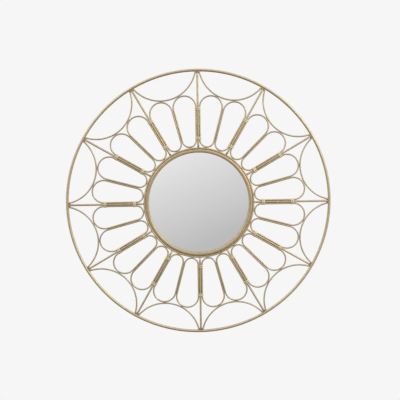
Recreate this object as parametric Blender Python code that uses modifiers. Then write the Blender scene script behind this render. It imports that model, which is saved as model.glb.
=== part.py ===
"""Round wall mirror held in a wheel of bent and bound wire.

Metres, +Z up. The glass faces -Y and the wall is the plane Y = 0. The origin is the middle
of the back board's rear face, on the axis of the wheel.

The wheel lies in one plane in front of the wall. Each bay between two spokes is worked out
beside a spoke that points along +X: u runs outward along the spoke, v runs across it, and
the middle line of the bay rises from the centre at half a bay's angle.
"""

import math

import bmesh
import bpy

OBJECT_NAME = "wire_wheel_mirror"

# The wheel
BAYS = 12
HOOP_RADIUS = 0.3959
HOOP_DIAMETER = 0.0082
SPOKE_DIAMETER = 0.0059
WIRE_DIAMETER = 0.0046
RING_WIRE_DIAMETER = 0.0052
PETAL_BEND_RADIUS = 0.03375
SCALLOP_TO_SPOKE = 0.0010
WHEEL_STANDOFF = 0.0175

# The binding collars
COLLAR_LENGTH = 0.0094
COLLAR_WALL = 0.0013
COLLAR_CLEARANCE = 0.0005
COLLAR_CORNER = 0.0020
COLLAR_GRIP = 0.0002
INNER_COLLAR_INSET = 0.0056
OUTER_COLLAR_INSET = 0.0035

# The mirror
GLASS_VIEW_RADIUS = 0.1520
BEZEL_WIDTH = 0.0102
BEZEL_WALL = 0.0040
BEZEL_DEPTH = 0.0210
CROWN_HEIGHT = 0.0026
GLASS_THICKNESS = 0.0040
BOARD_THICKNESS = 0.0060
REBATE_CLEARANCE = 0.0008

# The hanger let into the back board
HANGER_TO_EDGE = 0.0494
HANGER_LENGTH = 0.0500
HANGER_WIDTH = 0.0160
HANGER_THICKNESS = 0.0015
HANGER_SETBACK = 0.0003
KEYHOLE_RADIUS = 0.0045
KEYHOLE_SLOT_WIDTH = 0.0042
KEYHOLE_RISE = 0.0110
KEYHOLE_POCKET_MARGIN = 0.0015
KEYHOLE_POCKET_DEPTH = 0.0048
SCREW_SPACING = 0.0360
SCREW_HEAD_DIAMETER = 0.0064
SCREW_SHANK_DIAMETER = 0.0030
SCREW_SHANK_LENGTH = 0.0030

# Space between pieces that touch
GAP = 0.0003

# Facets
HOOP_STEPS = 60
ROUND_STEPS = 48
WIRE_SIDES = 6
SPOKE_SIDES = 8
SMALL_STEPS = 8
PETAL_OUTER_STEPS = (4, 2)
PETAL_INNER_STEPS = (2, 3)
SCALLOP_STEPS = (3, 2, 3)
CROWN_STEPS = 2
SHARP_ANGLE = math.radians(50)
WELD_DISTANCE = 0.00001

RIGHT_ANGLE = math.pi / 2
HALF_BAY = math.pi / BAYS
WIRE_RADIUS = WIRE_DIAMETER / 2

# Distance from a spoke's centre line to a petal's leg, and from the bay's middle line
LEG_TO_SPOKE = SPOKE_DIAMETER / 2 + GAP + WIRE_RADIUS
LEG_TO_MIDDLE = GAP / 2 + WIRE_RADIUS

# Radii of the mirror, outward from the glass to the petals' inner bends
BEZEL_RADIUS = GLASS_VIEW_RADIUS + BEZEL_WIDTH
REBATE_RADIUS = BEZEL_RADIUS - BEZEL_WALL
GLASS_RADIUS = REBATE_RADIUS - REBATE_CLEARANCE
HANGER_HEIGHT = GLASS_RADIUS - HANGER_TO_EDGE
RING_WIRE_RADIUS = BEZEL_RADIUS + GAP + RING_WIRE_DIAMETER / 2
RING_OUTER_RADIUS = RING_WIRE_RADIUS + RING_WIRE_DIAMETER / 2
PETAL_INNER_REACH = RING_OUTER_RADIUS + GAP + WIRE_RADIUS
HOOP_INNER_RADIUS = HOOP_RADIUS - HOOP_DIAMETER / 2

# Depths in front of the wall
GLASS_BACK = BOARD_THICKNESS + GAP
GLASS_FRONT = GLASS_BACK + GLASS_THICKNESS
LIP_BACK = GLASS_FRONT + GAP
HANGER_BACK = HANGER_SETBACK + HANGER_THICKNESS
HANGER_RECESS = HANGER_BACK + GAP


def make_collection(name):
    """Return a new collection linked to the scene."""
    collection = bpy.data.collections.new(name)
    bpy.context.scene.collection.children.link(collection)
    return collection


def move_to(obj, collection):
    """Keep an object in one collection only."""
    for other in list(obj.users_collection):
        other.objects.unlink(obj)
    collection.objects.link(obj)
    return obj


def principled(name, color, metallic, roughness):
    """Return a plain Principled material."""
    material = bpy.data.materials.new(name)
    material.use_nodes = True
    shader = material.node_tree.nodes["Principled BSDF"]
    shader.inputs["Base Color"].default_value = (*color, 1.0)
    shader.inputs["Metallic"].default_value = metallic
    shader.inputs["Roughness"].default_value = roughness
    return material


def add_modifier(obj, name, kind, **settings):
    """Add a modifier and set its values."""
    modifier = obj.modifiers.new(name, kind)
    for key, value in settings.items():
        setattr(modifier, key, value)
    return modifier


def add_cutter(obj, cutter):
    """Cut one object out of another with an exact Boolean."""
    add_modifier(obj, cutter.name, "BOOLEAN", operation="DIFFERENCE", solver="EXACT", object=cutter)


def hide_helper(obj):
    """Show a cutter or a half-made piece as wire only."""
    obj.hide_render = True
    obj.display_type = "WIRE"
    return obj


def wheel_centre():
    """Return an empty on the wheel's axis, in the plane of its wires."""
    empty = bpy.data.objects.new("wheel_centre", None)
    empty.empty_display_size = HOOP_RADIUS
    empty.location = (0.0, -WHEEL_STANDOFF, 0.0)
    return empty


def place_on_wheel(obj, wheel, angle=0.0):
    """Hang an object on the wheel, turned by an angle from +X toward +Z."""
    obj.parent = wheel
    obj.rotation_euler = (0.0, -angle, 0.0)


def arc_points(centre, radius, start, end, steps):
    """Return the points of an arc from one angle to another, both ends included."""
    angles = [start + (end - start) * i / steps for i in range(steps + 1)]
    return [(centre[0] + radius * math.cos(a), centre[1] + radius * math.sin(a)) for a in angles]


def direction(start, end):
    """Return the angle of the line from one point to another."""
    return math.atan2(end[1] - start[1], end[0] - start[0])


def bend_centre(radius):
    """Return the centre of a petal bend that meets both of the petal's straight legs."""
    v = LEG_TO_SPOKE + radius
    u = (LEG_TO_MIDDLE + radius + v * math.cos(HALF_BAY)) / math.sin(HALF_BAY)
    return u, v


def inner_bend_radius():
    """Return the radius of the petal bend that rests on the ring wire."""
    u_start, v_start = bend_centre(0.0)
    u_slope = bend_centre(1.0)[0] - u_start
    a = u_slope ** 2
    half_b = u_start * u_slope + v_start - PETAL_INNER_REACH
    c = u_start ** 2 + v_start ** 2 - PETAL_INNER_REACH ** 2
    return (math.sqrt(half_b ** 2 - a * c) - half_b) / a


def petal_outline(side):
    """Return one petal's closed centre line, on one side of its spoke (+1 or -1)."""
    outer = bend_centre(PETAL_BEND_RADIUS)
    inner_radius = inner_bend_radius()
    inner = bend_centre(inner_radius)
    scallop_centre, _ = scallop_arc()
    leg = RIGHT_ANGLE + HALF_BAY
    to_scallop = direction(outer, scallop_centre)
    to_ring = math.pi + math.atan2(inner[1], inner[0])
    first, second = PETAL_OUTER_STEPS
    points = arc_points(outer, PETAL_BEND_RADIUS, -RIGHT_ANGLE, to_scallop, first)
    points += arc_points(outer, PETAL_BEND_RADIUS, to_scallop, leg, second)[1:]
    first, second = PETAL_INNER_STEPS
    points += arc_points(inner, inner_radius, leg, to_ring, first)
    points += arc_points(inner, inner_radius, to_ring, 3 * RIGHT_ANGLE, second)[1:]
    return [(u, side * v) for u, v in points]


def scallop_through(end):
    """Return centre and radius of the arc that starts at a point and touches both petals.

    Its centre lies on the bay's middle line, at distance d from the wheel's axis. The radius
    is linear in d, so the arc's own equation is a quadratic in d.
    """
    petal = bend_centre(PETAL_BEND_RADIUS)
    reach = PETAL_BEND_RADIUS + WIRE_DIAMETER + GAP
    middle = (math.cos(HALF_BAY), math.sin(HALF_BAY))
    end_along = end[0] * middle[0] + end[1] * middle[1]
    petal_along = petal[0] * middle[0] + petal[1] * middle[1]
    slope = (end_along - petal_along) / reach
    start = (math.hypot(*petal) ** 2 - math.hypot(*end) ** 2 - reach ** 2) / (2 * reach)
    a = slope ** 2 - 1
    half_b = slope * start + end_along
    c = start ** 2 - math.hypot(*end) ** 2
    d = (math.sqrt(half_b ** 2 - a * c) - half_b) / a
    return (d * middle[0], d * middle[1]), slope * d + start


def scallop_arc():
    """Return the scallop's centre and its centre line, with points where it touches.

    The wire stops short of the hoop by the gap, the hoop's facets and its own slanted end.
    """
    v = SPOKE_DIAMETER / 2 + SCALLOP_TO_SPOKE + WIRE_RADIUS
    petal = bend_centre(PETAL_BEND_RADIUS)
    inward = math.pi + HALF_BAY
    first, middle, last = SCALLOP_STEPS
    facet_sag = HOOP_RADIUS * (1 - math.cos(math.pi / HOOP_STEPS))
    setback = GAP
    for _ in range(4):
        end = (math.sqrt((HOOP_INNER_RADIUS - setback) ** 2 - v ** 2), v)
        centre, radius = scallop_through(end)
        to_end = direction(centre, end) % math.tau
        to_petal = direction(centre, petal) % math.tau
        points = arc_points(centre, radius, to_end, to_petal, first)
        slant = direction(points[1], end) - math.atan2(v, end[0])
        setback = GAP + facet_sag + WIRE_RADIUS * abs(math.sin(slant))
    points += arc_points(centre, radius, to_petal, 2 * inward - to_petal, middle)[1:]
    points += arc_points(centre, radius, 2 * inward - to_petal, 2 * inward - to_end, last)[1:]
    return centre, points


def wire_curve(name, points, diameter, cyclic):
    """Return curve data for a round wire through points of the wheel's plane."""
    curve = bpy.data.curves.new(name, "CURVE")
    curve.dimensions = "3D"
    curve.bevel_depth = diameter / 2
    curve.bevel_resolution = (WIRE_SIDES - 4) // 2
    curve.use_fill_caps = True
    spline = curve.splines.new("POLY")
    spline.points.add(len(points) - 1)
    for point, (u, v) in zip(spline.points, points):
        point.co = (u, 0.0, v, 1.0)
        point.tilt = math.pi / WIRE_SIDES
    spline.use_cyclic_u = cyclic
    spline.use_smooth = True
    return curve


def wire_circle(name, radius, diameter, steps, material, wheel, parts):
    """Add a round wire bent to a full circle."""
    bpy.ops.mesh.primitive_torus_add(
        major_segments=steps, minor_segments=WIRE_SIDES, major_radius=radius, minor_radius=diameter / 2
    )
    ring = bpy.context.object
    ring.name = name
    ring.parent = wheel
    ring.rotation_euler = (RIGHT_ANGLE, 0.0, 0.0)
    ring.data.shade_smooth()
    ring.data.materials.append(material)
    return move_to(ring, parts)


def cylinder(name, radius, length, steps, location, rotation, collection):
    """Add a plain cylinder centred on its location."""
    bpy.ops.mesh.primitive_cylinder_add(
        vertices=steps, radius=radius, depth=length, location=location, rotation=rotation
    )
    obj = bpy.context.object
    obj.name = name
    return move_to(obj, collection)


def flat_curve(name, outlines, thickness):
    """Return curve data for a flat plate with closed outlines, the first one outermost."""
    curve = bpy.data.curves.new(name, "CURVE")
    curve.dimensions = "2D"
    curve.fill_mode = "BOTH"
    curve.extrude = thickness / 2
    for outline in outlines:
        spline = curve.splines.new("POLY")
        spline.points.add(len(outline) - 1)
        for point, (x, y) in zip(spline.points, outline):
            point.co = (x, y, 0.0, 1.0)
        spline.use_cyclic_u = True
    return curve


def mesh_from(obj, name, collection):
    """Replace an object by a plain mesh object of its evaluated shape."""
    bpy.context.view_layer.update()
    evaluated = obj.evaluated_get(bpy.context.evaluated_depsgraph_get())
    mesh = bpy.data.meshes.new_from_object(evaluated)
    mesh.name = name
    weld(mesh)
    result = bpy.data.objects.new(name, mesh)
    result.matrix_world = obj.matrix_world.copy()
    bpy.data.objects.remove(obj)
    collection.objects.link(result)
    return result


def weld(mesh):
    """Join the points of a mesh that lie on each other."""
    work = bmesh.new()
    work.from_mesh(mesh)
    bmesh.ops.remove_doubles(work, verts=work.verts, dist=WELD_DISTANCE)
    work.to_mesh(mesh)
    work.free()


def build_hoop(wheel, parts):
    """The outer hoop, one round tube."""
    paint = principled("gilt_hoop", (0.52, 0.39, 0.21), 0.85, 0.34)
    wire_circle("outer_hoop", HOOP_RADIUS, HOOP_DIAMETER, HOOP_STEPS, paint, wheel, parts)


def build_ring_wire(wheel, parts):
    """The wire circle that the spokes and petals end on."""
    paint = principled("gilt_ring_wire", (0.55, 0.42, 0.24), 0.85, 0.34)
    wire_circle("inner_ring_wire", RING_WIRE_RADIUS, RING_WIRE_DIAMETER, ROUND_STEPS, paint, wheel, parts)


def collar_places():
    """Return the distances from the wheel's axis to the middles of a spoke's two collars."""
    inner = bend_centre(inner_bend_radius())[0]
    outer = bend_centre(PETAL_BEND_RADIUS)[0]
    return inner + INNER_COLLAR_INSET, outer - OUTER_COLLAR_INSET


def collar_section():
    """Return a collar's outer and inner outlines across the spoke."""
    inner_x = LEG_TO_SPOKE + WIRE_RADIUS + COLLAR_CLEARANCE
    inner_y = SPOKE_DIAMETER / 2 - COLLAR_GRIP
    x = inner_x + COLLAR_WALL
    y = inner_y + COLLAR_WALL
    cut = COLLAR_CORNER
    quarter = [(x, y - cut), (x - cut, y)]
    half = quarter + [(-px, py) for px, py in reversed(quarter)]
    outer = half + [(-px, -py) for px, py in half]
    inner = [(inner_x, inner_y), (-inner_x, inner_y), (-inner_x, -inner_y), (inner_x, -inner_y)]
    return outer, inner


def bound_spoke_mesh(helpers):
    """Return the mesh of one spoke along +X with its two binding collars."""
    start = RING_OUTER_RADIUS + GAP
    end = HOOP_INNER_RADIUS - GAP
    middle = ((start + end) / 2, 0.0, 0.0)
    along_x = (0.0, RIGHT_ANGLE, 0.0)
    spoke = cylinder(
        "plain_spoke", SPOKE_DIAMETER / 2, end - start, SPOKE_SIDES, middle, along_x, helpers
    )
    outlines = collar_section()
    for name, place in zip(("inner_collar", "outer_collar"), collar_places()):
        band = bpy.data.objects.new(name + "_curve", flat_curve(name, outlines, COLLAR_LENGTH))
        helpers.objects.link(band)
        band.location = (place, 0.0, 0.0)
        band.rotation_euler = (0.0, -RIGHT_ANGLE, 0.0)
        collar = hide_helper(mesh_from(band, name, helpers))
        add_modifier(spoke, name, "BOOLEAN", operation="UNION", solver="EXACT", object=collar)
    bound = mesh_from(spoke, "bound_spoke", helpers)
    mesh = bound.data
    mesh.transform(bound.matrix_world)
    bpy.data.objects.remove(bound)
    return mesh


def build_spokes(wheel, parts, helpers):
    """The straight spokes, each with the two collars that bind the petals to it."""
    mesh = bound_spoke_mesh(helpers)
    mesh.materials.append(principled("gilt_spoke", (0.55, 0.42, 0.24), 0.85, 0.34))
    mesh.shade_smooth()
    mesh.set_sharp_from_angle(angle=SHARP_ANGLE)
    for i in range(BAYS):
        spoke = bpy.data.objects.new(f"spoke_{i + 1:02d}", mesh)
        place_on_wheel(spoke, wheel, 2 * HALF_BAY * i)
        parts.objects.link(spoke)


def build_petals(wheel, parts):
    """The closed wire loops, one on each side of every spoke."""
    paint = principled("gilt_petal", (0.52, 0.40, 0.23), 0.85, 0.36)
    for k, side in enumerate((1, -1)):
        curve = wire_curve(f"petal_side_{k + 1}", petal_outline(side), WIRE_DIAMETER, True)
        curve.materials.append(paint)
        for i in range(BAYS):
            petal = bpy.data.objects.new(f"petal_loop_{2 * i + k + 1:02d}", curve)
            place_on_wheel(petal, wheel, 2 * HALF_BAY * i)
            parts.objects.link(petal)


def build_scallops(wheel, parts):
    """The bent wires that bridge each bay under the hoop."""
    _, points = scallop_arc()
    curve = wire_curve("scallop", points, WIRE_DIAMETER, False)
    curve.materials.append(principled("gilt_scallop", (0.52, 0.40, 0.23), 0.85, 0.36))
    for i in range(BAYS):
        scallop = bpy.data.objects.new(f"scallop_arc_{i + 1:02d}", curve)
        place_on_wheel(scallop, wheel, 2 * HALF_BAY * i)
        parts.objects.link(scallop)


def crown_points(start, end):
    """Return points of the bezel's low rounded face, as radius and depth, between two angles."""
    half = BEZEL_WIDTH / 2
    angles = [start + (end - start) * i / CROWN_STEPS for i in range(CROWN_STEPS + 1)]
    middle = (GLASS_VIEW_RADIUS + half, BEZEL_DEPTH - CROWN_HEIGHT)
    return [(middle[0] + half * math.cos(a), middle[1] + CROWN_HEIGHT * math.sin(a)) for a in angles]


def build_bezel(parts):
    """The rounded rim: a turned section with a rebate for the glass and the board."""
    section = crown_points(RIGHT_ANGLE, 0.0)
    section += [(BEZEL_RADIUS, 0.0), (REBATE_RADIUS, 0.0), (REBATE_RADIUS, LIP_BACK)]
    section += [(GLASS_VIEW_RADIUS, LIP_BACK)]
    section += crown_points(math.pi, RIGHT_ANGLE)[:-1]
    mesh = bpy.data.meshes.new("bezel")
    count = len(section)
    edges = [(i, (i + 1) % count) for i in range(count)]
    mesh.from_pydata([(r, 0.0, h) for r, h in section], edges, [])
    mesh.materials.append(principled("gilt_bezel", (0.50, 0.37, 0.20), 0.85, 0.32))
    bezel = bpy.data.objects.new("bezel", mesh)
    bezel.rotation_euler = (RIGHT_ANGLE, 0.0, 0.0)
    parts.objects.link(bezel)
    add_modifier(
        bezel, "turn", "SCREW", axis="Z", steps=ROUND_STEPS, render_steps=ROUND_STEPS,
        use_merge_vertices=True, merge_threshold=WELD_DISTANCE, use_smooth_shade=True
    )


def build_glass(parts):
    """The round sheet of silvered glass behind the bezel's lip."""
    middle = (0.0, -(GLASS_BACK + GLASS_FRONT) / 2, 0.0)
    facing_front = (RIGHT_ANGLE, 0.0, 0.0)
    glass = cylinder(
        "mirror_glass", GLASS_RADIUS, GLASS_THICKNESS, ROUND_STEPS, middle, facing_front, parts
    )
    glass.data.materials.append(principled("silvered_glass", (0.80, 0.81, 0.82), 1.0, 0.03))


def rounded_slot(width, low, high):
    """Return a vertical slot's outline with round ends about two heights."""
    radius = width / 2
    points = arc_points((0.0, high), radius, 0.0, math.pi, SMALL_STEPS // 2)
    return points + arc_points((0.0, low), radius, math.pi, math.tau, SMALL_STEPS // 2)


def keyhole_outline():
    """Return the keyhole: a round hole for a screw head with a narrow slot above it."""
    half_slot = KEYHOLE_SLOT_WIDTH / 2
    opening = math.asin(half_slot / KEYHOLE_RADIUS)
    top = arc_points((0.0, KEYHOLE_RISE), half_slot, 0.0, math.pi, SMALL_STEPS // 2)
    bottom = arc_points(
        (0.0, 0.0), KEYHOLE_RADIUS, RIGHT_ANGLE + opening, 5 * RIGHT_ANGLE - opening, SMALL_STEPS
    )
    return top + bottom


def screw_heights():
    """Return the heights of the two screws above the hanger's middle."""
    return SCREW_SPACING / 2, -SCREW_SPACING / 2


def build_hanger(parts):
    """The slotted plate that the mirror hangs by, sunk below the board's rear face."""
    end = HANGER_LENGTH / 2 - HANGER_WIDTH / 2
    hole_radius = SCREW_HEAD_DIAMETER / 2 + GAP
    outlines = [rounded_slot(HANGER_WIDTH, -end, end), keyhole_outline()]
    outlines += [arc_points((0.0, z), hole_radius, 0.0, math.tau, SMALL_STEPS)[:-1] for z in screw_heights()]
    curve = flat_curve("keyhole_hanger", outlines, HANGER_THICKNESS)
    curve.materials.append(principled("zinc_hanger", (0.62, 0.62, 0.60), 0.9, 0.40))
    hanger = bpy.data.objects.new("keyhole_hanger", curve)
    hanger.location = (0.0, -(HANGER_SETBACK + HANGER_BACK) / 2, HANGER_HEIGHT)
    hanger.rotation_euler = (RIGHT_ANGLE, 0.0, 0.0)
    parts.objects.link(hanger)


def build_screws(parts):
    """The two screws that hold the hanger, flush with its rear face."""
    head = SCREW_HEAD_DIAMETER / 2
    shank = SCREW_SHANK_DIAMETER / 2
    tip = -(HANGER_BACK - HANGER_SETBACK) - SCREW_SHANK_LENGTH
    under_head = -HANGER_THICKNESS
    profile = [(0.0, 0.0), (head, 0.0), (head, under_head), (shank, under_head), (shank, tip), (0.0, tip)]
    mesh = bpy.data.meshes.new("hanger_screw")
    edges = [(i, i + 1) for i in range(len(profile) - 1)]
    mesh.from_pydata([(r, 0.0, h) for r, h in profile], edges, [])
    mesh.materials.append(principled("zinc_screw", (0.66, 0.66, 0.64), 0.9, 0.35))
    for name, height in zip(("hanger_screw_top", "hanger_screw_bottom"), screw_heights()):
        screw = bpy.data.objects.new(name, mesh)
        screw.location = (0.0, -HANGER_SETBACK, HANGER_HEIGHT + height)
        screw.rotation_euler = (-RIGHT_ANGLE, 0.0, 0.0)
        parts.objects.link(screw)
        add_modifier(
            screw, "turn", "SCREW", axis="Z", steps=SMALL_STEPS, render_steps=SMALL_STEPS,
            use_merge_vertices=True, merge_threshold=WELD_DISTANCE
        )


def pocket_cutter(name, outline, depth, helpers):
    """Return a cutter for a pocket of some depth in the board's rear face."""
    overshoot = BOARD_THICKNESS / 2
    obj = bpy.data.objects.new(name + "_curve", flat_curve(name, [outline], depth + overshoot))
    obj.location = (0.0, (overshoot - depth) / 2, HANGER_HEIGHT)
    obj.rotation_euler = (RIGHT_ANGLE, 0.0, 0.0)
    helpers.objects.link(obj)
    return hide_helper(mesh_from(obj, name, helpers))


def build_board(parts, helpers):
    """The back board, with a recess for the hanger and pockets for what passes it."""
    middle = (0.0, -BOARD_THICKNESS / 2, 0.0)
    facing_front = (RIGHT_ANGLE, 0.0, 0.0)
    board = cylinder(
        "back_board", GLASS_RADIUS, BOARD_THICKNESS, ROUND_STEPS, middle, facing_front, parts
    )
    board.data.materials.append(principled("board_brown", (0.20, 0.14, 0.09), 0.0, 0.75))
    end = HANGER_LENGTH / 2 - HANGER_WIDTH / 2
    recess = rounded_slot(HANGER_WIDTH + 2 * GAP, -end, end)
    add_cutter(board, pocket_cutter("hanger_recess", recess, HANGER_RECESS, helpers))
    width = 2 * (KEYHOLE_RADIUS + KEYHOLE_POCKET_MARGIN)
    pocket = rounded_slot(width, 0.0, KEYHOLE_RISE)
    add_cutter(board, pocket_cutter("keyhole_pocket", pocket, KEYHOLE_POCKET_DEPTH, helpers))
    hole_radius = SCREW_SHANK_DIAMETER / 2 + GAP
    hole_depth = HANGER_BACK + SCREW_SHANK_LENGTH + GAP
    for name, height in zip(("screw_hole_top", "screw_hole_bottom"), screw_heights()):
        hole = arc_points((0.0, height), hole_radius, 0.0, math.tau, SMALL_STEPS)[:-1]
        add_cutter(board, pocket_cutter(name, hole, hole_depth, helpers))


def main():
    """Clear the scene and build the mirror."""
    for obj in list(bpy.data.objects):
        bpy.data.objects.remove(obj)
    parts = make_collection(OBJECT_NAME)
    helpers = make_collection(OBJECT_NAME + "_cutters")
    wheel = wheel_centre()
    parts.objects.link(wheel)
    build_hoop(wheel, parts)
    build_spokes(wheel, parts, helpers)
    build_petals(wheel, parts)
    build_scallops(wheel, parts)
    build_ring_wire(wheel, parts)
    build_bezel(parts)
    build_glass(parts)
    build_board(parts, helpers)
    build_hanger(parts)
    build_screws(parts)


main()
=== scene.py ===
"""Looks for the round wall mirror held in a wheel of bent and bound wire.

Sizes repeat the solids' own. The wires here are smooth, and the open ends of spokes and scallops
run on into the ring wire and the hoop. Work on the wheel is done beside a spoke that points along
+X: u runs outward along the spoke, v across it, and the depth is in front of the wall.
"""

import math
import random

import bmesh
import bpy
from mathutils import Matrix, Vector


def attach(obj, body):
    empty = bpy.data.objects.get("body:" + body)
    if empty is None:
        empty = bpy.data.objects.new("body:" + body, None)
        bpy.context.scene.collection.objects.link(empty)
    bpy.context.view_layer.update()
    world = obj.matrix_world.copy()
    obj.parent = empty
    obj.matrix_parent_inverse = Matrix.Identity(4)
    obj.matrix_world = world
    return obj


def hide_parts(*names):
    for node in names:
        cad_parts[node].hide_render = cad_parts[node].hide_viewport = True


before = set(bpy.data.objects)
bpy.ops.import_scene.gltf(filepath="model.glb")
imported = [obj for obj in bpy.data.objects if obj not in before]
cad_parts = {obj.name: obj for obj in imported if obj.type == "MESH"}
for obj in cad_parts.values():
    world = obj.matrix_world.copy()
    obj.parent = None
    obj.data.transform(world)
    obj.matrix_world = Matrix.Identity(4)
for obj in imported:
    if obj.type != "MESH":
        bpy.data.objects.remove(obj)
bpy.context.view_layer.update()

# The wheel
BAYS = 12
HOOP_RADIUS = 0.3959
HOOP_DIAMETER = 0.0082
SPOKE_DIAMETER = 0.0059
WIRE_DIAMETER = 0.0046
RING_WIRE_DIAMETER = 0.0052
PETAL_BEND_RADIUS = 0.03375
SCALLOP_TO_SPOKE = 0.0010
WHEEL_STANDOFF = 0.0175

# The bindings
STRAP_WIDTH = 0.0045
STRAP_THICKNESS = 0.0011
STRAP_PITCH = 0.0048
STRAP_SINK = 0.0002
STRAP_FOOT_SHARE = 0.8
STRAP_FULLNESS = 0.6
STRAP_DIRECTION_REACH = 0.0004
STRAP_START_TURN = 0.11
STRAP_END_TURN = 1.89
STRAP_CROSSING_TURN = 1.0
STRAP_CROSSING_SPREAD = 0.10
INNER_COLLAR_INSET = 0.0056
OUTER_COLLAR_INSET = 0.0035

# The mirror
GLASS_VIEW_RADIUS = 0.1520
BEZEL_WIDTH = 0.0102
BEZEL_WALL = 0.0040
BEZEL_DEPTH = 0.0210
CROWN_HEIGHT = 0.0026
GLASS_THICKNESS = 0.0040
GLASS_ARRIS = 0.0006
BOARD_THICKNESS = 0.0060
REBATE_CLEARANCE = 0.0008
GAP = 0.0003

# The hanger let into the back board, and its screws
HANGER_TO_EDGE = 0.0494
HANGER_THICKNESS = 0.0015
HANGER_SETBACK = 0.0003
SCREW_SPACING = 0.0360
SCREW_HEAD_DIAMETER = 0.0064
SCREW_SHANK_DIAMETER = 0.0030
SCREW_SHANK_LENGTH = 0.0030
SCREW_RECESS_LENGTH = 0.0036
SCREW_RECESS_WIDTH = 0.0008
SCREW_RECESS_DEPTH = 0.0009
SCREW_CHAMFER = 0.0004
SCREW_CORE_RADIUS = 0.0001

# Paint that has run into the seams between wires; its dark colour is painted shade of the crevices
SEAM_WIDTH = 0.0014
SEAM_RISE = 0.0015
RING_SEAM_RISE = 0.0020

# Weld beads: length, width in the wheel's plane, and depth
SCALLOP_BEAD = (0.0065, 0.0034, 0.0040)
RING_BEAD = (0.0060, 0.0030, 0.0038)
CORNER_BEAD = (0.0090, 0.0054, 0.0066)
HOOP_BEAD = (0.0070, 0.0120, 0.0070)
FORK_BEAD = (0.0080, 0.0030, 0.0040)
MIDDLE_BEAD = (0.0060, 0.0030, 0.0040)
BEAD_LUMPS = 0.08

# Places of the weld beads at the hoop and along the bay's middle line
CORNER_BEAD_INSET = 0.0018
CORNER_BEAD_TO_SPOKE = 0.0036
CORNER_BEAD_SLANT = 0.4
HOOP_BEAD_INSET = 0.0014
FORK_TO_BEAD = 0.0040
FORK_TO_MIDDLE_BEAD = 0.0900

# First numbers of the beads' random lumps
SCALLOP_SEED = 10
RING_SEED = 20
CORNER_SEED = 30
MIDDLE_SEED = 40
HOOP_SEED = 50

RIGHT_ANGLE = math.pi / 2
HALF_BAY = math.pi / BAYS
WIRE_RADIUS = WIRE_DIAMETER / 2
LEG_TO_SPOKE = SPOKE_DIAMETER / 2 + GAP + WIRE_RADIUS
LEG_TO_MIDDLE = GAP / 2 + WIRE_RADIUS
BEZEL_RADIUS = GLASS_VIEW_RADIUS + BEZEL_WIDTH
REBATE_RADIUS = BEZEL_RADIUS - BEZEL_WALL
GLASS_RADIUS = REBATE_RADIUS - REBATE_CLEARANCE
RING_WIRE_RADIUS = BEZEL_RADIUS + GAP + RING_WIRE_DIAMETER / 2
RING_OUTER_RADIUS = RING_WIRE_RADIUS + RING_WIRE_DIAMETER / 2
PETAL_INNER_REACH = RING_OUTER_RADIUS + GAP + WIRE_RADIUS
HOOP_INNER_RADIUS = HOOP_RADIUS - HOOP_DIAMETER / 2
SCALLOP_SETBACK = 2 * GAP
GLASS_BACK = BOARD_THICKNESS + GAP
GLASS_FRONT = GLASS_BACK + GLASS_THICKNESS
LIP_BACK = GLASS_FRONT + GAP

# How finely the smooth shapes are divided
HOOP_STEPS = 360
RING_STEPS = 240
PETAL_OUTER_STEPS = 48
PETAL_INNER_STEPS = 36
SCALLOP_STEPS = 72
SPOKE_STEPS = 24
HOOP_SIDES = 24
SPOKE_SIDES = 20
WIRE_SIDES = 16
STRAP_STEPS = 110
STRAP_SECTION_STEPS = 10
STRAP_CREST_STEPS = 2
STRAP_LEG_STEPS = 14
DISC_STEPS = 240
CROWN_STEPS = 32
SCREW_STEPS = 32
TURNED_SHARP_ANGLE = math.radians(40)
SCREW_SHARP_ANGLE = math.radians(30)
MERGE_DISTANCE = 0.00001

# The photograph's camera, from the wheel's centre, in degrees, metres and millimetres of lens
CAMERA_TILT = 5.665
CAMERA_TURN = 1.886
CAMERA_ROLL = 0.833
CAMERA_DISTANCE = 1.9907
CAMERA_LENS = 59.27
CAMERA_SENSOR = 36.0
CAMERA_SHIFT = (0.0022, 0.0075)

# Gilt paints: light and dark of the mottling, and roughness
WIRE_PAINT = ((0.44, 0.348, 0.218), (0.376, 0.288, 0.168), 0.32)
LOOP_PAINT = ((0.41, 0.334, 0.219), (0.348, 0.277, 0.171), 0.32)
RIM_PAINT = ((0.41, 0.318, 0.186), (0.35, 0.265, 0.148), 0.36)
BINDING_PAINT = ((0.58, 0.475, 0.305), (0.50, 0.395, 0.24), 0.34)
WELD_PAINT = ((0.31, 0.215, 0.11), (0.23, 0.155, 0.075), 0.48)
# The seam paint is dark as painted shade of the crevices between touching wires
SEAM_SHADE_PAINT = ((0.33, 0.24, 0.13), (0.25, 0.18, 0.09), 0.55)
PAINT_ROUGHNESS_SPREAD = 0.05

# The floor
FLOOR_HALF_WIDTH = 3.0
FLOOR_LENGTH = 4.0
FLOOR_DROP = 1.45
FLOOR_COLOR = (0.46, 0.46, 0.455)
FLOOR_ROUGHNESS = 0.9

# The card that the glass reflects: its slope of brightness, and the bright field at its right
CARD_WIDTH = 10.0
CARD_HEIGHT = 4.0
CARD_DISTANCE = 3.4
CARD_SLANT = -0.42
CARD_SLOPE = (-0.75, 0.10)
CARD_LEVELS = (0.57, 0.90)
FIELD_SLOPE = (0.62, 1.10)
FIELD_LEVELS = (0.0, 0.80)

# The lights
LIGHT_SIZE = 1.2
KEY_PLACE = (1.9, -1.3, 0.9)
KEY_POWER = 13.0
KEY_COLOR = (1.0, 0.98, 0.95)
FILL_PLACE = (-1.9, -1.3, 1.2)
FILL_POWER = 5.0
FILL_COLOR = (0.96, 0.98, 1.0)

# The studio's glow: brighter upward, to the front and to both sides
GROUND_COLOR = (0.922, 0.922, 0.922)
GLOW_STRENGTH = 2.6
GLOW_DIRECTION = (0.0, -0.32, 1.0)
GLOW_SIDEWAYS = 0.8
GLOW_SLOPE = (-1.0, 1.3)
GLOW_STOPS = ((0.0, 0.10), (0.35, 0.16), (0.46, 0.25), (0.78, 0.42), (1.0, 0.80))


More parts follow.
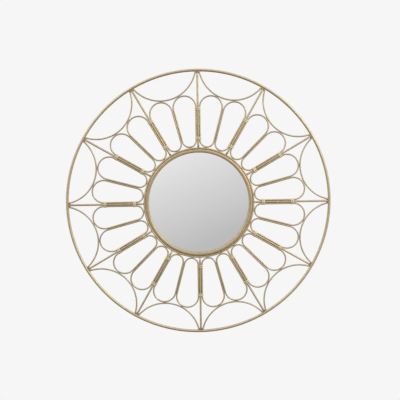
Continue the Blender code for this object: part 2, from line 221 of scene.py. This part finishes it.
def set_camera():
    """Place the camera at the photograph's viewing angle."""
    turn = Matrix.Rotation(math.radians(CAMERA_TILT), 3, "X")
    turn = turn @ Matrix.Rotation(math.radians(CAMERA_TURN), 3, "Y")
    turn = turn @ Matrix.Rotation(math.radians(CAMERA_ROLL), 3, "Z")
    upright = Matrix.Rotation(RIGHT_ANGLE, 3, "X")
    axes = upright @ turn.transposed()
    data = bpy.data.cameras.new("photo_camera")
    data.lens = CAMERA_LENS
    data.sensor_width = CAMERA_SENSOR
    data.shift_x, data.shift_y = CAMERA_SHIFT
    camera = bpy.data.objects.new("photo_camera", data)
    centre = Vector((0.0, -WHEEL_STANDOFF, 0.0))
    place = centre + axes @ Vector((0.0, 0.0, CAMERA_DISTANCE))
    camera.matrix_world = Matrix.Translation(place) @ axes.to_4x4()
    bpy.context.scene.collection.objects.link(camera)
    bpy.context.scene.camera = camera


# Points and angles


def point_at(centre, radius, angle):
    """Return the point at an angle on a circle."""
    return centre[0] + radius * math.cos(angle), centre[1] + radius * math.sin(angle)


def arc_points(centre, radius, start, end, steps):
    """Return the points of an arc from one angle to another, both ends included."""
    angles = [start + (end - start) * i / steps for i in range(steps + 1)]
    return [point_at(centre, radius, angle) for angle in angles]


def circle_points(radius, steps):
    """Return the points of a full circle about the origin."""
    return arc_points((0.0, 0.0), radius, 0.0, math.tau, steps)[:-1]


def direction(start, end):
    """Return the angle of the line from one point to another."""
    return math.atan2(end[1] - start[1], end[0] - start[0])


def along_middle(place):
    """Return how far out a point lies along the bay's middle line."""
    return place[0] * math.cos(HALF_BAY) + place[1] * math.sin(HALF_BAY)


def bend_centre(radius):
    """Return the centre of a petal bend that meets both of the petal's straight legs."""
    v = LEG_TO_SPOKE + radius
    u = (LEG_TO_MIDDLE + radius + v * math.cos(HALF_BAY)) / math.sin(HALF_BAY)
    return u, v


def inner_bend_radius():
    """Return the radius of the petal bend that rests on the ring wire."""
    u_start, v_start = bend_centre(0.0)
    u_slope = bend_centre(1.0)[0] - u_start
    a = u_slope ** 2
    half_b = u_start * u_slope + v_start - PETAL_INNER_REACH
    c = u_start ** 2 + v_start ** 2 - PETAL_INNER_REACH ** 2
    return (math.sqrt(half_b ** 2 - a * c) - half_b) / a


def petal_outline(side):
    """Return one petal's closed centre line, on one side of its spoke (+1 or -1)."""
    outer = bend_centre(PETAL_BEND_RADIUS)
    inner_radius = inner_bend_radius()
    inner = bend_centre(inner_radius)
    leg = RIGHT_ANGLE + HALF_BAY
    points = arc_points(outer, PETAL_BEND_RADIUS, -RIGHT_ANGLE, leg, PETAL_OUTER_STEPS)
    points += arc_points(inner, inner_radius, leg, 3 * RIGHT_ANGLE, PETAL_INNER_STEPS)
    return [(u, side * v) for u, v in points]


def scallop_circle():
    """Return the centre and radius of the arc that bridges a bay and touches both petals.

    Its centre lies on the bay's middle line, at distance d from the wheel's axis. The radius
    is linear in d, so the arc's own equation is a quadratic in d.
    """
    v = SPOKE_DIAMETER / 2 + SCALLOP_TO_SPOKE + WIRE_RADIUS
    end = (math.sqrt((HOOP_INNER_RADIUS - SCALLOP_SETBACK) ** 2 - v ** 2), v)
    petal = bend_centre(PETAL_BEND_RADIUS)
    reach = PETAL_BEND_RADIUS + WIRE_DIAMETER + GAP
    slope = (along_middle(end) - along_middle(petal)) / reach
    start = (math.hypot(*petal) ** 2 - math.hypot(*end) ** 2 - reach ** 2) / (2 * reach)
    a = slope ** 2 - 1
    half_b = slope * start + along_middle(end)
    c = start ** 2 - math.hypot(*end) ** 2
    d = (math.sqrt(half_b ** 2 - a * c) - half_b) / a
    return point_at((0.0, 0.0), d, HALF_BAY), slope * d + start


def scallop_points():
    """Return the scallop's centre line, from hoop to hoop."""
    centre, radius = scallop_circle()
    distance = math.hypot(*centre)
    reach = HOOP_RADIUS - WIRE_RADIUS
    spread = math.acos((distance ** 2 + radius ** 2 - reach ** 2) / (2 * distance * radius))
    inward = math.pi + HALF_BAY
    return arc_points(centre, radius, inward - spread, inward + spread, SCALLOP_STEPS)


# Meshes


def bridge(work, rings, closed):
    """Join each ring of points to the next with faces."""
    count = len(rings[0])
    pairs = list(zip(rings, rings[1:]))
    if closed:
        pairs.append((rings[-1], rings[0]))
    for one, two in pairs:
        for i in range(count):
            j = (i + 1) % count
            work.faces.new((one[i], one[j], two[j], two[i]))


def mesh_from(name, work):
    """Return the mesh of a piece of work, which ends with it."""
    mesh = bpy.data.meshes.new(name)
    work.to_mesh(mesh)
    work.free()
    return mesh


def sweep(name, path, section, closed):
    """Return a mesh of a section carried along a path of points, normals and side vectors."""
    work = bmesh.new()
    rings = [[work.verts.new(p + a * n + b * s) for a, b in section] for p, n, s in path]
    bridge(work, rings, closed)
    if not closed:
        work.faces.new(rings[0])
        work.faces.new(list(reversed(rings[-1])))
    bmesh.ops.recalc_face_normals(work, faces=work.faces)
    mesh = mesh_from(name, work)
    mesh.shade_smooth()
    return mesh


def flat_path(points, closed):
    """Return path points of the wheel's plane with their in-plane normals and depth vectors."""
    places = [Vector((u, 0.0, v)) for u, v in points]
    count = len(places)
    path = []
    for i, place in enumerate(places):
        before = places[i - 1] if closed or i > 0 else place
        after = places[(i + 1) % count] if closed or i < count - 1 else place
        along = (after - before).normalized()
        path.append((place, Vector((along.z, 0.0, -along.x)), Vector((0.0, 1.0, 0.0))))
    return path


def wire_mesh(name, points, diameter, closed, sides=WIRE_SIDES):
    """Return the mesh of a round wire through points of the wheel's plane."""
    return sweep(name, flat_path(points, closed), circle_points(diameter / 2, sides), closed)


def turned_mesh(name, profile, steps):
    """Return the mesh of a closed profile (radius, depth) turned about the mirror's axis."""
    work = bmesh.new()
    rings = []
    for k in range(steps):
        angle = math.tau * k / steps
        cos, sin = math.cos(angle), math.sin(angle)
        rings.append([work.verts.new((r * cos, -d, r * sin)) for r, d in profile])
    bridge(work, rings, True)
    bmesh.ops.recalc_face_normals(work, faces=work.faces)
    mesh = mesh_from(name, work)
    mesh.shade_smooth()
    mesh.set_sharp_from_angle(angle=TURNED_SHARP_ANGLE)
    return mesh


def box_mesh(name, width, depth, height):
    """Return the mesh of a box that is centred on the origin."""
    work = bmesh.new()
    bmesh.ops.create_cube(work, size=1.0, matrix=Matrix.Diagonal((width, depth, height, 1.0)))
    return mesh_from(name, work)


def cut_mesh(mesh, cutters):
    """Return a copy of a mesh with the cutter meshes taken out of it."""
    target = bpy.data.objects.new(mesh.name, mesh)
    bpy.context.scene.collection.objects.link(target)
    helpers = [target]
    for cutter in cutters:
        helper = bpy.data.objects.new(cutter.name, cutter)
        bpy.context.scene.collection.objects.link(helper)
        helpers.append(helper)
        cut = target.modifiers.new(cutter.name, "BOOLEAN")
        cut.operation = "DIFFERENCE"
        cut.object = helper
    graph = bpy.context.evaluated_depsgraph_get()
    result = bpy.data.meshes.new_from_object(target.evaluated_get(graph))
    for helper in helpers:
        bpy.data.objects.remove(helper)
    return result


# Pieces


def add_piece(name, mesh, material, slot, *nodes, bay=None):
    """Put a piece into the scene, on the wheel if it has a bay, in place of the solids named."""
    if bay is not None:
        mesh = mesh.copy()
        mesh.name = name
        turn = Matrix.Rotation(-2 * HALF_BAY * bay, 4, "Y")
        mesh.transform(Matrix.Translation((0.0, -WHEEL_STANDOFF, 0.0)) @ turn)
    piece = bpy.data.objects.new(name, mesh)
    bpy.context.scene.collection.objects.link(piece)
    if not mesh.materials:
        mesh.materials.append(material)
    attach(piece, "root")
    if nodes:
        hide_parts(*nodes)
    return piece


def add_to_bays(name, mesh, material, slot, solid=None):
    """Put a piece into every bay, in place of the solid of the same number if one is named."""
    for i in range(BAYS):
        nodes = [f"{solid}_{i + 1:02d}"] if solid else []
        add_piece(f"{name}_{i + 1:02d}", mesh, material, slot, *nodes, bay=i)


def build_hoop(paint):
    """The outer hoop."""
    points = circle_points(HOOP_RADIUS, HOOP_STEPS)
    mesh = wire_mesh("hoop_tube", points, HOOP_DIAMETER, True, HOOP_SIDES)
    add_piece("hoop_tube", mesh, paint, "hoop", "outer_hoop", bay=0)


def build_ring_wire(paint):
    """The wire circle round the bezel."""
    points = circle_points(RING_WIRE_RADIUS, RING_STEPS)
    mesh = wire_mesh("ring_wire", points, RING_WIRE_DIAMETER, True, SPOKE_SIDES)
    add_piece("ring_wire", mesh, paint, "ring_wire", "inner_ring_wire", bay=0)


def build_petals(paint):
    """The closed wire loops, two beside each spoke."""
    for k, side in enumerate((1, -1)):
        mesh = wire_mesh(f"petal_{k + 1}", petal_outline(side), WIRE_DIAMETER, True)
        for i in range(BAYS):
            number = f"{2 * i + k + 1:02d}"
            solid = f"petal_loop_{number}"
            add_piece(f"petal_wire_{number}", mesh, paint, "petals", solid, bay=i)


def build_scallops(paint):
    """The arcs that bridge the bays."""
    mesh = wire_mesh("scallop", scallop_points(), WIRE_DIAMETER, False)
    add_to_bays("scallop_wire", mesh, paint, "scallops", "scallop_arc")


def build_spokes(paint):
    """The straight spokes."""
    start = RING_OUTER_RADIUS - GAP
    end = HOOP_INNER_RADIUS + GAP
    points = [(start + (end - start) * k / SPOKE_STEPS, 0.0) for k in range(SPOKE_STEPS + 1)]
    mesh = wire_mesh("spoke", points, SPOKE_DIAMETER, False, SPOKE_SIDES)
    add_to_bays("spoke_wire", mesh, paint, "spokes", "spoke")


def bundle_outline():
    """Return the loop (v, y) of a strap pulled tight round leg, spoke and leg, from its back."""
    spoke = SPOKE_DIAMETER / 2
    tilt = math.asin((spoke - WIRE_RADIUS) / LEG_TO_SPOKE)
    start = RIGHT_ANGLE + tilt
    end = RIGHT_ANGLE - tilt
    outline = arc_points((0.0, 0.0), spoke, start, end, STRAP_CREST_STEPS)
    outline += arc_points((LEG_TO_SPOKE, 0.0), WIRE_RADIUS, end, -end, STRAP_LEG_STEPS)
    return outline + [(-v, -y) for v, y in outline]


def strap_path():
    """Return the path of a strap wound twice round leg, spoke and leg, from the back.

    The strap crosses from the first turn's place to the second's while it is behind the bundle.
    """
    outline = bundle_outline()
    loop = outline + outline[:1]
    lengths = [0.0]
    for one, two in zip(loop, loop[1:]):
        lengths.append(lengths[-1] + math.dist(one, two))
    total = lengths[-1]
    back = lengths[1]

    def place_at(distance):
        distance = distance % total
        k = max(i for i, length in enumerate(lengths) if length <= distance)
        k = min(k, len(outline) - 1)
        share = (distance - lengths[k]) / max(lengths[k + 1] - lengths[k], 1e-9)
        one, two = loop[k], loop[k + 1]
        return Vector((one[0] + share * (two[0] - one[0]), one[1] + share * (two[1] - one[1])))

    path = []
    for i in range(STRAP_STEPS + 1):
        turn = STRAP_START_TURN + (STRAP_END_TURN - STRAP_START_TURN) * i / STRAP_STEPS
        distance = back + turn * total
        place = place_at(distance)
        along = place_at(distance + STRAP_DIRECTION_REACH)
        along -= place_at(distance - STRAP_DIRECTION_REACH)
        outward = Vector((-along.y, along.x)).normalized()
        if outward.dot(place) < 0:
            outward = -outward
        share = (turn - STRAP_CROSSING_TURN) / STRAP_CROSSING_SPREAD / 2 + 0.5
        share = min(max(share, 0.0), 1.0)
        share = share * share * (3 - 2 * share)
        u = (share - 0.5) * STRAP_PITCH
        normal = Vector((0.0, outward.y, outward.x))
        path.append((Vector((u, place.y, place.x)), normal, Vector((1.0, 0.0, 0.0))))
    return path


def strap_section():
    """Return the strap's rounded outline: height off the bundle, place across."""
    half = STRAP_WIDTH / 2
    outline = []
    for i in range(STRAP_SECTION_STEPS + 1):
        angle = math.pi * i / STRAP_SECTION_STEPS
        height = STRAP_THICKNESS * math.sin(angle) ** STRAP_FULLNESS
        outline.append((height, -half * math.cos(angle)))
    foot = STRAP_FOOT_SHARE * half
    return outline + [(-STRAP_SINK, foot), (-STRAP_SINK, -foot)]


def build_bindings(paint):
    """The two bindings of each spoke: a strap wound twice round the bundle."""
    mesh = sweep("binding", strap_path(), strap_section(), False)
    inner = bend_centre(inner_bend_radius())[0] + INNER_COLLAR_INSET
    outer = bend_centre(PETAL_BEND_RADIUS)[0] - OUTER_COLLAR_INSET
    for name, place in (("inner_binding", inner), ("outer_binding", outer)):
        data = mesh.copy()
        data.name = name
        data.transform(Matrix.Translation((place, 0.0, 0.0)))
        add_to_bays(name, data, paint, "spokes")


def bezel_profile():
    """Return the bezel's section: low rounded face, thin lip, and the rebate behind it."""
    half = BEZEL_WIDTH / 2
    middle = GLASS_VIEW_RADIUS + half
    shoulder = BEZEL_DEPTH - CROWN_HEIGHT
    angles = [math.pi * i / CROWN_STEPS for i in range(CROWN_STEPS + 1)]
    profile = [(middle + half * math.cos(a), shoulder + CROWN_HEIGHT * math.sin(a)) for a in angles]
    profile += [(GLASS_VIEW_RADIUS, LIP_BACK), (REBATE_RADIUS, LIP_BACK)]
    profile += [(REBATE_RADIUS, 0.0), (BEZEL_RADIUS, 0.0)]
    return profile


def build_bezel(paint):
    """The rounded rim round the glass."""
    mesh = turned_mesh("bezel_rim", bezel_profile(), DISC_STEPS)
    add_piece("bezel_rim", mesh, paint, "bezel", "bezel")


def build_glass(silver):
    """The round sheet of silvered glass, with a fine arris ground on its edges."""
    flat_radius = GLASS_RADIUS - GLASS_ARRIS
    profile = [(GLASS_RADIUS, GLASS_BACK + GLASS_ARRIS), (GLASS_RADIUS, GLASS_FRONT - GLASS_ARRIS)]
    profile += [(flat_radius, GLASS_FRONT), (0.0, GLASS_FRONT)]
    profile += [(0.0, GLASS_BACK), (flat_radius, GLASS_BACK)]
    mesh = turned_mesh("glass_disc", profile, DISC_STEPS)
    work = bmesh.new()
    work.from_mesh(mesh)
    bmesh.ops.remove_doubles(work, verts=work.verts, dist=MERGE_DISTANCE)
    loose = [edge for edge in work.edges if not edge.link_faces]
    bmesh.ops.delete(work, geom=loose, context="EDGES")
    work.to_mesh(mesh)
    work.free()
    add_piece("glass_disc", mesh, silver, "glass", "mirror_glass")


def bead(work, centre, along, size, seed):
    """Add a small lumpy weld bead to a mesh, its length at an angle in the wheel's plane."""
    length, width, depth = size
    shape = bmesh.ops.create_icosphere(work, subdivisions=2, radius=1.0)
    spin = Matrix.Rotation(-along, 4, "Y")
    random.seed(seed)
    for vert in shape["verts"]:
        lump = 1.0 + random.uniform(-BEAD_LUMPS, BEAD_LUMPS)
        x, y, z = vert.co
        local = Vector((x * length / 2, y * depth / 2, z * width / 2)) * lump
        vert.co = spin @ local + Vector((centre[0], 0.0, centre[1]))


def build_welds(paint):
    """The weld beads: scallop on petal, petal on ring, hoop joints and petal on petal."""
    axis = (0.0, 0.0)
    outer = bend_centre(PETAL_BEND_RADIUS)
    inner = bend_centre(inner_bend_radius())
    to_scallop = direction(outer, scallop_circle()[0])
    to_ring = direction(axis, inner)
    work = bmesh.new()
    for side in (1, -1):
        u, v = point_at(outer, PETAL_BEND_RADIUS + WIRE_RADIUS, to_scallop)
        along = side * (to_scallop + RIGHT_ANGLE)
        bead(work, (u, side * v), along, SCALLOP_BEAD, SCALLOP_SEED + side)
        u, v = point_at(axis, PETAL_INNER_REACH - WIRE_RADIUS, to_ring)
        along = side * (to_ring + RIGHT_ANGLE)
        bead(work, (u, side * v), along, RING_BEAD, RING_SEED + side)
        corner = (HOOP_INNER_RADIUS - CORNER_BEAD_INSET, side * CORNER_BEAD_TO_SPOKE)
        bead(work, corner, side * CORNER_BEAD_SLANT, CORNER_BEAD, CORNER_SEED + side)
    bead(work, (HOOP_INNER_RADIUS - HOOP_BEAD_INSET, 0.0), 0.0, HOOP_BEAD, HOOP_SEED)
    fork = along_middle(inner)
    for reach, size in ((FORK_TO_BEAD, FORK_BEAD), (FORK_TO_MIDDLE_BEAD, MIDDLE_BEAD)):
        bead(work, point_at(axis, fork + reach, HALF_BAY), HALF_BAY, size, MIDDLE_SEED)
    mesh = mesh_from("welds", work)
    mesh.shade_smooth()
    add_to_bays("welds", mesh, paint, "petals")


def seam_section(back, front):
    """Return the outline of a strip of paint between two wires, from its back to its front."""
    half = SEAM_WIDTH / 2
    return [(half, back), (half, front), (-half, front), (-half, back)]


def build_shaded_seams(paint):
    """Paint in the seams, dark as painted crevice shade: beside each spoke, at mid-bay and round
    the bezel.
    """
    section = seam_section(SEAM_RISE, -SEAM_RISE)
    inner = bend_centre(inner_bend_radius())
    outer = bend_centre(PETAL_BEND_RADIUS)
    v = (SPOKE_DIAMETER + GAP) / 2
    runs = [[(inner[0], side * v), (outer[0], side * v)] for side in (1, -1)]
    runs.append([point_at((0.0, 0.0), along_middle(end), HALF_BAY) for end in (inner, outer)])
    for k, run in enumerate(runs):
        mesh = sweep(f"seam_{k + 1}", flat_path(run, False), section, False)
        add_to_bays(f"seam_{k + 1}", mesh, paint, "petals")
    # The ring seam between bezel and ring wire is dark as painted shade of the groove
    ring = flat_path(circle_points(BEZEL_RADIUS + SEAM_WIDTH / 2, RING_STEPS), True)
    section = seam_section(SEAM_RISE, -RING_SEAM_RISE)
    mesh = sweep("seam_ring", ring, section, True)
    add_piece("seam_ring", mesh, paint, "ring_wire", bay=0)


def build_screws(zinc):
    """The hanger's two screws: chamfered heads with a cross recess."""
    head = SCREW_HEAD_DIAMETER / 2
    shank = SCREW_SHANK_DIAMETER / 2
    under_head = HANGER_SETBACK + HANGER_THICKNESS
    tip = under_head + SCREW_SHANK_LENGTH
    profile = [(SCREW_CORE_RADIUS, HANGER_SETBACK), (head - SCREW_CHAMFER, HANGER_SETBACK)]
    profile += [(head, HANGER_SETBACK + SCREW_CHAMFER), (head, under_head), (shank, under_head)]
    profile += [(shank, tip - shank / 2), (SCREW_CORE_RADIUS, tip)]
    deep = 2 * (SCREW_RECESS_DEPTH + HANGER_SETBACK)
    cutters = [
        box_mesh("recess_across", SCREW_RECESS_LENGTH, deep, SCREW_RECESS_WIDTH),
        box_mesh("recess_upright", SCREW_RECESS_WIDTH, deep, SCREW_RECESS_LENGTH),
    ]
    mesh = cut_mesh(turned_mesh("hanger_screw_head", profile, SCREW_STEPS), cutters)
    mesh.set_sharp_from_angle(angle=SCREW_SHARP_ANGLE)
    for end, rise in (("top", SCREW_SPACING / 2), ("bottom", -SCREW_SPACING / 2)):
        piece = add_piece(f"screw_{end}", mesh, zinc, "screws", f"hanger_screw_{end}")
        piece.location = (0.0, 0.0, GLASS_RADIUS - HANGER_TO_EDGE + rise)


def finish_node(node, material):
    """Give a solid that stays its finish."""
    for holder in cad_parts[node].material_slots:
        holder.material = material


# Shader nodes


def object_place(tree):
    """Return the place on the object, in its own axes."""
    return tree.nodes.new("ShaderNodeTexCoord").outputs["Object"]


def add_noise(tree, place, scale, detail, distortion=0.0):
    """Add a noise that reads a place, and return its level."""
    noise = tree.nodes.new("ShaderNodeTexNoise")
    noise.inputs["Scale"].default_value = scale
    noise.inputs["Detail"].default_value = detail
    noise.inputs["Distortion"].default_value = distortion
    tree.links.new(place, noise.inputs["Vector"])
    return noise.outputs["Fac"]


def add_ramp(tree, level, stops):
    """Add a ramp of (position, colour) stops that reads a level, and return its colour."""
    ramp = tree.nodes.new("ShaderNodeValToRGB")
    elements = ramp.color_ramp.elements
    for element, (position, color) in zip(elements, (stops[0], stops[-1])):
        element.position = position
        element.color = (*color, 1.0)
    for position, color in stops[1:-1]:
        element = elements.new(position)
        element.color = (*color, 1.0)
    tree.links.new(level, ramp.inputs["Fac"])
    return ramp.outputs["Color"]


def add_range(tree, level, results, limits=(0.0, 1.0), interpolation="LINEAR"):
    """Add a map of a level between two limits to two results, and return its output."""
    spread = tree.nodes.new("ShaderNodeMapRange")
    spread.interpolation_type = interpolation
    spread.inputs["From Min"].default_value, spread.inputs["From Max"].default_value = limits
    spread.inputs["To Min"].default_value, spread.inputs["To Max"].default_value = results
    tree.links.new(level, spread.inputs["Value"])
    return spread.outputs["Result"]


def add_bump(tree, shader, height, strength, distance):
    """Add a bump that reads a height to a shader."""
    bump = tree.nodes.new("ShaderNodeBump")
    bump.inputs["Strength"].default_value = strength
    bump.inputs["Distance"].default_value = distance
    tree.links.new(height, bump.inputs["Height"])
    tree.links.new(bump.outputs["Normal"], shader.inputs["Normal"])


def add_weighted(tree, value, weight, other):
    """Add the sum of a value times its weight and another value, and return it."""
    total = tree.nodes.new("ShaderNodeMath")
    total.operation = "MULTIPLY_ADD"
    total.inputs[1].default_value = weight
    tree.links.new(value, total.inputs[0])
    tree.links.new(other, total.inputs[2])
    return total.outputs["Value"]


# Materials


def new_material(name):
    """Return a material with its node tree and Principled shader."""
    material = bpy.data.materials.new(name)
    material.use_nodes = True
    tree = material.node_tree
    return material, tree, tree.nodes["Principled BSDF"]


def gilt_paint(name, light, dark, roughness):
    """Satin gilt paint: a mottled metallic coat with a fine orange-peel surface."""
    material, tree, shader = new_material(name)
    place = object_place(tree)
    mottle = add_noise(tree, place, scale=90.0, detail=4.0)
    color = add_ramp(tree, mottle, ((0.30, dark), (0.70, light)))
    tree.links.new(color, shader.inputs["Base Color"])
    grain = add_noise(tree, place, scale=1400.0, detail=3.0)
    results = (roughness - PAINT_ROUGHNESS_SPREAD, roughness + PAINT_ROUGHNESS_SPREAD)
    tree.links.new(add_range(tree, grain, results), shader.inputs["Roughness"])
    add_bump(tree, shader, grain, strength=0.10, distance=0.00002)
    shader.inputs["Metallic"].default_value = 0.9
    return material


def mirror_silver():
    """Silvered glass: a clean mirror with the faintest haze."""
    material, tree, shader = new_material("silvered_glass")
    haze = add_noise(tree, object_place(tree), scale=14.0, detail=3.0)
    tree.links.new(add_range(tree, haze, (0.015, 0.035)), shader.inputs["Roughness"])
    color = add_ramp(tree, haze, ((0.0, (0.868, 0.864, 0.868)), (1.0, (0.892, 0.889, 0.892))))
    tree.links.new(color, shader.inputs["Base Color"])
    shader.inputs["Metallic"].default_value = 1.0
    return material


def fibreboard():
    """Dark stained fibreboard: short mottled fibres with a fine tooth."""
    material, tree, shader = new_material("stained_fibreboard")
    fibres = add_noise(tree, object_place(tree), scale=420.0, detail=6.0, distortion=1.5)
    color = add_ramp(tree, fibres, ((0.35, (0.13, 0.088, 0.055)), (0.68, (0.24, 0.172, 0.112))))
    tree.links.new(color, shader.inputs["Base Color"])
    add_bump(tree, shader, fibres, strength=0.35, distance=0.0001)
    shader.inputs["Roughness"].default_value = 0.75
    return material


def zinc_plate():
    """Zinc plated steel: cool grey with the faint lines of the rolled sheet."""
    material, tree, shader = new_material("zinc_plate")
    stretch = tree.nodes.new("ShaderNodeMapping")
    stretch.inputs["Scale"].default_value = (1.0, 1.0, 0.06)
    tree.links.new(object_place(tree), stretch.inputs["Vector"])
    lines = add_noise(tree, stretch.outputs["Vector"], scale=1800.0, detail=2.0)
    color = add_ramp(tree, lines, ((0.0, (0.52, 0.52, 0.51)), (1.0, (0.72, 0.72, 0.70))))
    tree.links.new(color, shader.inputs["Base Color"])
    tree.links.new(add_range(tree, lines, (0.32, 0.48)), shader.inputs["Roughness"])
    shader.inputs["Metallic"].default_value = 0.9
    return material


# Surroundings


def build_floor():
    """A plain pale floor, well below the hanging mirror and up to its wall."""
    material, _, shader = new_material("floor_pale")
    shader.inputs["Base Color"].default_value = (*FLOOR_COLOR, 1.0)
    shader.inputs["Roughness"].default_value = FLOOR_ROUGHNESS
    corners = [(-FLOOR_HALF_WIDTH, -FLOOR_LENGTH), (FLOOR_HALF_WIDTH, -FLOOR_LENGTH)]
    corners += [(FLOOR_HALF_WIDTH, 0.0), (-FLOOR_HALF_WIDTH, 0.0)]
    mesh = bpy.data.meshes.new("floor")
    mesh.from_pydata([(x, y, -FLOOR_DROP) for x, y in corners], [], [(0, 1, 2, 3)])
    mesh.materials.append(material)
    floor = bpy.data.objects.new("floor", mesh)
    bpy.context.scene.collection.objects.link(floor)
    floor.visible_glossy = False


def card_glow():
    """Return the card's light: darker at its lower right, with a bright field beside that."""
    material = bpy.data.materials.new("grey_card")
    material.use_nodes = True
    tree = material.node_tree
    tree.nodes.clear()
    output = tree.nodes.new("ShaderNodeOutputMaterial")
    glow = tree.nodes.new("ShaderNodeEmission")
    tree.links.new(glow.outputs["Emission"], output.inputs["Surface"])
    split = tree.nodes.new("ShaderNodeSeparateXYZ")
    tree.links.new(object_place(tree), split.inputs["Vector"])
    across = add_weighted(tree, split.outputs["X"], CARD_SLANT, split.outputs["Z"])
    level = add_range(tree, across, CARD_LEVELS, CARD_SLOPE)
    bright = add_range(tree, split.outputs["X"], FIELD_LEVELS, FIELD_SLOPE, "SMOOTHSTEP")
    tree.links.new(add_weighted(tree, bright, 1.0, level), glow.inputs["Strength"])
    return material


def build_card():
    """The glowing card in front of the mirror, which only reflections see."""
    half_width = CARD_WIDTH / 2
    half_height = CARD_HEIGHT / 2
    corners = [(-half_width, -half_height), (half_width, -half_height)]
    corners += [(half_width, half_height), (-half_width, half_height)]
    mesh = bpy.data.meshes.new("grey_card")
    mesh.from_pydata([(x, 0.0, z) for x, z in corners], [], [(0, 1, 2, 3)])
    mesh.materials.append(card_glow())
    card = bpy.data.objects.new("grey_card", mesh)
    card.location = (0.0, -CARD_DISTANCE, 0.0)
    card.visible_camera = False
    card.visible_diffuse = False
    card.visible_shadow = False
    bpy.context.scene.collection.objects.link(card)


def add_light(name, place, power, color):
    """Add one soft area light that looks at the mirror's centre."""
    data = bpy.data.lights.new(name, "AREA")
    data.shape = "DISK"
    data.size = LIGHT_SIZE
    data.energy = power
    data.color = color
    light = bpy.data.objects.new(name, data)
    light.location = place
    light.rotation_euler = (-Vector(place)).to_track_quat("-Z", "Y").to_euler()
    light.visible_camera = False
    bpy.context.scene.collection.objects.link(light)


def build_world():
    """A pale even ground behind everything, and a softer studio glow for light and gloss."""
    world = bpy.data.worlds.new("studio")
    bpy.context.scene.world = world
    world.use_nodes = True
    tree = world.node_tree
    tree.nodes.clear()
    place = tree.nodes.new("ShaderNodeTexCoord")
    split = tree.nodes.new("ShaderNodeSeparateXYZ")
    tree.links.new(place.outputs["Generated"], split.inputs["Vector"])
    sideways = tree.nodes.new("ShaderNodeMath")
    sideways.operation = "ABSOLUTE"
    tree.links.new(split.outputs["X"], sideways.inputs[0])
    slant = tree.nodes.new("ShaderNodeVectorMath")
    slant.operation = "DOT_PRODUCT"
    slant.inputs[1].default_value = GLOW_DIRECTION
    tree.links.new(place.outputs["Generated"], slant.inputs[0])
    across = add_weighted(tree, sideways.outputs["Value"], GLOW_SIDEWAYS, slant.outputs["Value"])
    level = add_range(tree, across, (0.0, 1.0), GLOW_SLOPE)
    stops = [(position, (grey, grey, grey)) for position, grey in GLOW_STOPS]
    glow = tree.nodes.new("ShaderNodeBackground")
    glow.inputs["Strength"].default_value = GLOW_STRENGTH
    tree.links.new(add_ramp(tree, level, stops), glow.inputs["Color"])
    ground = tree.nodes.new("ShaderNodeBackground")
    ground.inputs["Color"].default_value = (*GROUND_COLOR, 1.0)
    path = tree.nodes.new("ShaderNodeLightPath")
    mix = tree.nodes.new("ShaderNodeMixShader")
    tree.links.new(path.outputs["Is Camera Ray"], mix.inputs["Fac"])
    tree.links.new(glow.outputs["Background"], mix.inputs[1])
    tree.links.new(ground.outputs["Background"], mix.inputs[2])
    output = tree.nodes.new("ShaderNodeOutputWorld")
    tree.links.new(mix.outputs["Shader"], output.inputs["Surface"])


def main():
    """Dress the mirror and light it."""
    bpy.context.scene.view_settings.view_transform = "Standard"
    set_camera()
    build_floor()
    build_card()
    build_world()
    add_light("key", KEY_PLACE, KEY_POWER, KEY_COLOR)
    add_light("fill", FILL_PLACE, FILL_POWER, FILL_COLOR)
    wire_paint = gilt_paint("gilt_wire", *WIRE_PAINT)
    loop_paint = gilt_paint("gilt_loops", *LOOP_PAINT)
    rim_paint = gilt_paint("gilt_rim", *RIM_PAINT)
    binding_paint = gilt_paint("gilt_binding", *BINDING_PAINT)
    weld_paint = gilt_paint("gilt_weld", *WELD_PAINT)
    seam_shade_paint = gilt_paint("gilt_seam_shade", *SEAM_SHADE_PAINT)
    zinc = zinc_plate()
    build_hoop(wire_paint)
    build_ring_wire(wire_paint)
    build_petals(loop_paint)
    build_scallops(loop_paint)
    build_spokes(wire_paint)
    build_bindings(binding_paint)
    build_bezel(rim_paint)
    build_glass(mirror_silver())
    build_welds(weld_paint)
    # Dark strips in the seams: real paint filling, with painted shade of the crevices between wires
    build_shaded_seams(seam_shade_paint)
    finish_node("back_board", fibreboard())
    finish_node("keyhole_hanger", zinc)
    build_screws(zinc)


main()
